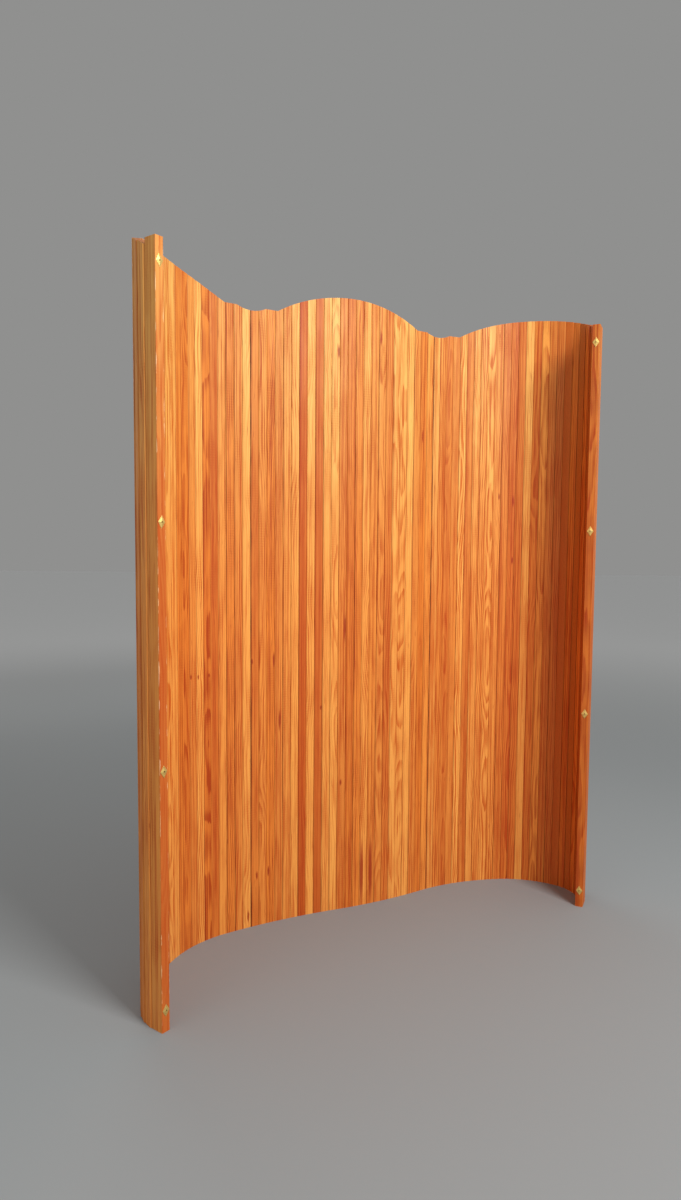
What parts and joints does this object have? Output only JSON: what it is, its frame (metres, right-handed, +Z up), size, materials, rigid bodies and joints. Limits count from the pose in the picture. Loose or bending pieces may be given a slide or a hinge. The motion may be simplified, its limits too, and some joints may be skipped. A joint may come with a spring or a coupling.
{
  "type": "slatted screen",
  "caption": "Free-standing room divider of narrow pine slats strung on steel cables between two end posts, with an arched top edge; it stands by its curve and rolls up.",
  "frame": {"origin": "middle of the box round the standing curtain, on the floor", "axes": "+Z up along the slats; +X to the right seen from the front, along the curtain's width; +Y away from the viewer"},
  "size_m": [1.2592, 0.8955, 1.811],
  "materials": {
    "pine": "satin amber varnish over pine, darker and redder in some slats",
    "brass": "thin pressed brass plate, dulled",
    "nail_brass": "small round-headed brass nails",
    "cable_steel": "twisted steel cable",
    "washer_steel": "zinc plated steel",
    "ferrule_metal": "crimped aluminium"
  },
  "bodies": {
    "left_post": {"left_post": "pine", "left_washers": "washer_steel", "left_ferrules": "ferrule_metal", "left_plates": "brass", "left_nails": "nail_brass"},
    "slat_pair_01": {"slat_pair_01": "pine"},
    "slat_pair_02": {"slat_pair_02": "pine"},
    "slat_pair_03": {"slat_pair_03": "pine"},
    "slat_pair_04": {"slat_pair_04": "pine"},
    "slat_pair_05": {"slat_pair_05": "pine"},
    "slat_pair_06": {"slat_pair_06": "pine"},
    "slat_pair_07": {"slat_pair_07": "pine"},
    "slat_pair_08": {"slat_pair_08": "pine"},
    "slat_pair_09": {"slat_pair_09": "pine"},
    "slat_pair_10": {"slat_pair_10": "pine"},
    "slat_pair_11": {"slat_pair_11": "pine"},
    "slat_pair_12": {"slat_pair_12": "pine"},
    "slat_pair_13": {"slat_pair_13": "pine"},
    "slat_pair_14": {"slat_pair_14": "pine"},
    "slat_pair_15": {"slat_pair_15": "pine"},
    "slat_pair_16": {"slat_pair_16": "pine"},
    "slat_pair_17": {"slat_pair_17": "pine"},
    "slat_pair_18": {"slat_pair_18": "pine", "cable_1": "cable_steel", "cable_2": "cable_steel", "cable_3": "cable_steel", "cable_4": "cable_steel"},
    "slat_pair_19": {"slat_pair_19": "pine"},
    "slat_pair_20": {"slat_pair_20": "pine"},
    "slat_pair_21": {"slat_pair_21": "pine"},
    "slat_pair_22": {"slat_pair_22": "pine"},
    "slat_pair_23": {"slat_pair_23": "pine"},
    "slat_pair_24": {"slat_pair_24": "pine"},
    "slat_pair_25": {"slat_pair_25": "pine"},
    "slat_pair_26": {"slat_pair_26": "pine"},
    "slat_pair_27": {"slat_pair_27": "pine"},
    "slat_pair_28": {"slat_pair_28": "pine"},
    "slat_pair_29": {"slat_pair_29": "pine"},
    "slat_pair_30": {"slat_pair_30": "pine"},
    "slat_pair_31": {"slat_pair_31": "pine"},
    "slat_pair_32": {"slat_pair_32": "pine"},
    "slat_pair_33": {"slat_pair_33": "pine"},
    "slat_pair_34": {"slat_pair_34": "pine"},
    "slat_pair_35": {"slat_pair_35": "pine"},
    "slat_pair_36": {"slat_pair_36": "pine"},
    "right_post": {"right_post": "pine", "right_washers": "washer_steel", "right_ferrules": "ferrule_metal", "right_plates": "brass", "right_nails": "nail_brass"}
  },
  "joints": [
    {"name": "hinge_01", "type": "hinge", "parent": "slat_pair_01", "child": "left_post", "pos_m": [-0.5746, -0.41138, 0], "axis": [0, 0, -1], "range_deg": [-2, 34.2], "deforming": ["cable_1", "cable_2", "cable_3", "cable_4"]},
    {"name": "hinge_02", "type": "hinge", "parent": "slat_pair_02", "child": "slat_pair_01", "pos_m": [-0.60163, -0.36967, 0], "axis": [0, 0, -1], "range_deg": [-2, 36], "deforming": ["cable_1", "cable_2", "cable_3", "cable_4"]},
    {"name": "hinge_03", "type": "hinge", "parent": "slat_pair_03", "child": "slat_pair_02", "pos_m": [-0.61252, -0.32089, 0], "axis": [0, 0, -1], "range_deg": [-3.7, 22.2], "deforming": ["cable_1", "cable_2", "cable_3", "cable_4"]},
    {"name": "hinge_04", "type": "hinge", "parent": "slat_pair_04", "child": "slat_pair_03", "pos_m": [-0.61781, -0.27119, 0], "axis": [0, 0, -1], "range_deg": [-3.8, 22.3], "deforming": ["cable_1", "cable_2", "cable_3", "cable_4"]},
    {"name": "hinge_05", "type": "hinge", "parent": "slat_pair_05", "child": "slat_pair_04", "pos_m": [-0.61743, -0.22121, 0], "axis": [0, 0, -1], "range_deg": [-3.9, 22.5], "deforming": ["cable_1", "cable_2", "cable_3", "cable_4"]},
    {"name": "hinge_06", "type": "hinge", "parent": "slat_pair_06", "child": "slat_pair_05", "pos_m": [-0.61141, -0.1716, 0], "axis": [0, 0, -1], "range_deg": [-9.5, 23.2], "deforming": ["cable_1", "cable_2", "cable_3", "cable_4"]},
    {"name": "hinge_07", "type": "hinge", "parent": "slat_pair_07", "child": "slat_pair_06", "pos_m": [-0.59928, -0.12313, 0], "axis": [0, 0, -1], "range_deg": [-7.7, 25.2], "deforming": ["cable_1", "cable_2", "cable_3", "cable_4"]},
    {"name": "hinge_08", "type": "hinge", "parent": "slat_pair_08", "child": "slat_pair_07", "pos_m": [-0.57972, -0.07716, 0], "axis": [0, 0, -1], "range_deg": [-7.9, 25.4], "deforming": ["cable_1", "cable_2", "cable_3", "cable_4"]},
    {"name": "hinge_09", "type": "hinge", "parent": "slat_pair_09", "child": "slat_pair_08", "pos_m": [-0.5532, -0.03481, 0], "axis": [0, 0, -1], "range_deg": [-8.1, 25.5], "deforming": ["cable_1", "cable_2", "cable_3", "cable_4"]},
    {"name": "hinge_10", "type": "hinge", "parent": "slat_pair_10", "child": "slat_pair_09", "pos_m": [-0.5204, 0.00287, 0], "axis": [0, 0, -1], "range_deg": [-8.2, 25.7], "deforming": ["cable_1", "cable_2", "cable_3", "cable_4"]},
    {"name": "hinge_11", "type": "hinge", "parent": "slat_pair_11", "child": "slat_pair_10", "pos_m": [-0.48209, 0.03495, 0], "axis": [0, 0, -1], "range_deg": [-10.2, 24], "deforming": ["cable_1", "cable_2", "cable_3", "cable_4"]},
    {"name": "hinge_12", "type": "hinge", "parent": "slat_pair_12", "child": "slat_pair_11", "pos_m": [-0.44004, 0.062, 0], "axis": [0, 0, -1], "range_deg": [-15.8, 18.8], "deforming": ["cable_1", "cable_2", "cable_3", "cable_4"]},
    {"name": "hinge_13", "type": "hinge", "parent": "slat_pair_13", "child": "slat_pair_12", "pos_m": [-0.39716, 0.08771, 0], "axis": [0, 0, -1], "range_deg": [-16, 19], "deforming": ["cable_1", "cable_2", "cable_3", "cable_4"]},
    {"name": "hinge_14", "type": "hinge", "parent": "slat_pair_14", "child": "slat_pair_13", "pos_m": [-0.3535, 0.11206, 0], "axis": [0, 0, -1], "range_deg": [-16.1, 19.1], "deforming": ["cable_1", "cable_2", "cable_3", "cable_4"]},
    {"name": "hinge_15", "type": "hinge", "parent": "slat_pair_15", "child": "slat_pair_14", "pos_m": [-0.30909, 0.13503, 0], "axis": [0, 0, -1], "range_deg": [-16.3, 19.3], "deforming": ["cable_1", "cable_2", "cable_3", "cable_4"]},
    {"name": "hinge_16", "type": "hinge", "parent": "slat_pair_16", "child": "slat_pair_15", "pos_m": [-0.26398, 0.1566, 0], "axis": [0, 0, -1], "range_deg": [-16.5, 19.5], "deforming": ["cable_1", "cable_2", "cable_3", "cable_4"]},
    {"name": "hinge_17", "type": "hinge", "parent": "slat_pair_17", "child": "slat_pair_16", "pos_m": [-0.21821, 0.17674, 0], "axis": [0, 0, -1], "range_deg": [-16.7, 19.7], "deforming": ["cable_1", "cable_2", "cable_3", "cable_4"]},
    {"name": "hinge_18", "type": "hinge", "parent": "slat_pair_18", "child": "slat_pair_17", "pos_m": [-0.17184, 0.19542, 0], "axis": [0, 0, -1], "range_deg": [-18, 18.9], "deforming": ["cable_1", "cable_2", "cable_3", "cable_4"]},
    {"name": "hinge_19", "type": "hinge", "parent": "slat_pair_18", "child": "slat_pair_19", "pos_m": [-0.12521, 0.21346, 0], "axis": [0, 0, 1], "range_deg": [-21.2, 16.1], "deforming": ["cable_1", "cable_2", "cable_3", "cable_4"]},
    {"name": "hinge_20", "type": "hinge", "parent": "slat_pair_19", "child": "slat_pair_20", "pos_m": [-0.07931, 0.23328, 0], "axis": [0, 0, 1], "range_deg": [-21.4, 16.3], "deforming": ["cable_1", "cable_2", "cable_3", "cable_4"]},
    {"name": "hinge_21", "type": "hinge", "parent": "slat_pair_20", "child": "slat_pair_21", "pos_m": [-0.0342, 0.25484, 0], "axis": [0, 0, 1], "range_deg": [-21.7, 16.5], "deforming": ["cable_1", "cable_2", "cable_3", "cable_4"]},
    {"name": "hinge_22", "type": "hinge", "parent": "slat_pair_21", "child": "slat_pair_22", "pos_m": [0.01005, 0.27813, 0], "axis": [0, 0, 1], "range_deg": [-21.9, 16.7], "deforming": ["cable_1", "cable_2", "cable_3", "cable_4"]},
    {"name": "hinge_23", "type": "hinge", "parent": "slat_pair_22", "child": "slat_pair_23", "pos_m": [0.05337, 0.30309, 0], "axis": [0, 0, 1], "range_deg": [-22.2, 16.9], "deforming": ["cable_1", "cable_2", "cable_3", "cable_4"]},
    {"name": "hinge_24", "type": "hinge", "parent": "slat_pair_23", "child": "slat_pair_24", "pos_m": [0.0957, 0.32969, 0], "axis": [0, 0, 1], "range_deg": [-20.7, 18.9], "deforming": ["cable_1", "cable_2", "cable_3", "cable_4"]},
    {"name": "hinge_25", "type": "hinge", "parent": "slat_pair_24", "child": "slat_pair_25", "pos_m": [0.13781, 0.35662, 0], "axis": [0, 0, 1], "range_deg": [-15.7, 24.4], "deforming": ["cable_1", "cable_2", "cable_3", "cable_4"]},
    {"name": "hinge_26", "type": "hinge", "parent": "slat_pair_25", "child": "slat_pair_26", "pos_m": [0.18203, 0.37994, 0], "axis": [0, 0, 1], "range_deg": [-16, 24.6], "deforming": ["cable_1", "cable_2", "cable_3", "cable_4"]},
    {"name": "hinge_27", "type": "hinge", "parent": "slat_pair_26", "child": "slat_pair_27", "pos_m": [0.22805, 0.39947, 0], "axis": [0, 0, 1], "range_deg": [-16.3, 24.9], "deforming": ["cable_1", "cable_2", "cable_3", "cable_4"]},
    {"name": "hinge_28", "type": "hinge", "parent": "slat_pair_27", "child": "slat_pair_28", "pos_m": [0.27554, 0.41508, 0], "axis": [0, 0, 1], "range_deg": [-16.6, 25.2], "deforming": ["cable_1", "cable_2", "cable_3", "cable_4"]},
    {"name": "hinge_29", "type": "hinge", "parent": "slat_pair_28", "child": "slat_pair_29", "pos_m": [0.32416, 0.42667, 0], "axis": [0, 0, 1], "range_deg": [-16.9, 25.5], "deforming": ["cable_1", "cable_2", "cable_3", "cable_4"]},
    {"name": "hinge_30", "type": "hinge", "parent": "slat_pair_29", "child": "slat_pair_30", "pos_m": [0.37359, 0.43414, 0], "axis": [0, 0, 1], "range_deg": [-15.8, 27.2], "deforming": ["cable_1", "cable_2", "cable_3", "cable_4"]},
    {"name": "hinge_31", "type": "hinge", "parent": "slat_pair_30", "child": "slat_pair_31", "pos_m": [0.4235, 0.43619, 0], "axis": [0, 0, 1], "range_deg": [-11.9, 31.9], "deforming": ["cable_1", "cable_2", "cable_3", "cable_4"]},
    {"name": "hinge_32", "type": "hinge", "parent": "slat_pair_31", "child": "slat_pair_32", "pos_m": [0.47292, 0.42902, 0], "axis": [0, 0, 1], "range_deg": [-12.2, 32.2], "deforming": ["cable_1", "cable_2", "cable_3", "cable_4"]},
    {"name": "hinge_33", "type": "hinge", "parent": "slat_pair_32", "child": "slat_pair_33", "pos_m": [0.52019, 0.41289, 0], "axis": [0, 0, 1], "range_deg": [-12.6, 32.5], "deforming": ["cable_1", "cable_2", "cable_3", "cable_4"]},
    {"name": "hinge_34", "type": "hinge", "parent": "slat_pair_33", "child": "slat_pair_34", "pos_m": [0.56368, 0.38833, 0], "axis": [0, 0, 1], "range_deg": [-9.3, 36.7], "deforming": ["cable_1", "cable_2", "cable_3", "cable_4"]},
    {"name": "hinge_35", "type": "hinge", "parent": "slat_pair_34", "child": "slat_pair_35", "pos_m": [0.59952, 0.35391, 0], "axis": [0, 0, 1], "range_deg": [-2, 48.5], "deforming": ["cable_1", "cable_2", "cable_3", "cable_4"]},
    {"name": "hinge_36", "type": "hinge", "parent": "slat_pair_35", "child": "slat_pair_36", "pos_m": [0.61679, 0.30733, 0], "axis": [0, 0, 1], "range_deg": [-2, 48.9], "deforming": ["cable_1", "cable_2", "cable_3", "cable_4"]},
    {"name": "hinge_37", "type": "hinge", "parent": "slat_pair_36", "child": "right_post", "pos_m": [0.61207, 0.25787, 0], "axis": [0, 0, 1], "range_deg": [-5.7, 42.8], "deforming": ["cable_1", "cable_2", "cable_3", "cable_4"]}
  ]
}
